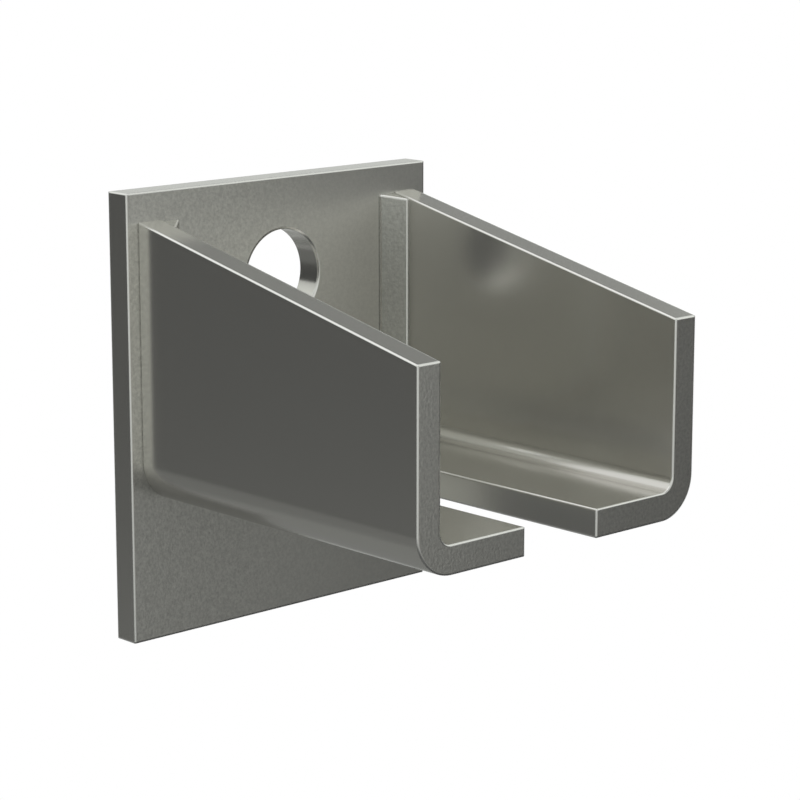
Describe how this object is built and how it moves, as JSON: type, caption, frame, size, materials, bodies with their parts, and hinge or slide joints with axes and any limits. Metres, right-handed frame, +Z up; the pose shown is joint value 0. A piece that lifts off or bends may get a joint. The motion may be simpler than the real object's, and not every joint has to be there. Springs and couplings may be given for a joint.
{
  "type": "rail support",
  "caption": "Wall bracket for a rail: an upright plate with a fixing hole carries folded angles welded on as an open channel, whose inturned lips seat the rail over a bolt slot.",
  "frame": {"origin": "middle of the fixing hole, on the wall side of the plate", "axes": "+Z is up, +Y points into the wall, and the channel reaches out from the wall along -Y; +X points right as seen from in front of the wall"},
  "size_m": [0.07, 0.075, 0.08],
  "materials": {
    "steel": "satin mill finish, olive grey",
    "weld": "dressed flat and satin, as the plate"
  },
  "bodies": {
    "root": {"wall_plate": "steel", "left_angle": "steel", "right_angle": "steel", "left_weld": "weld", "right_weld": "weld"}
  },
  "joints": []
}
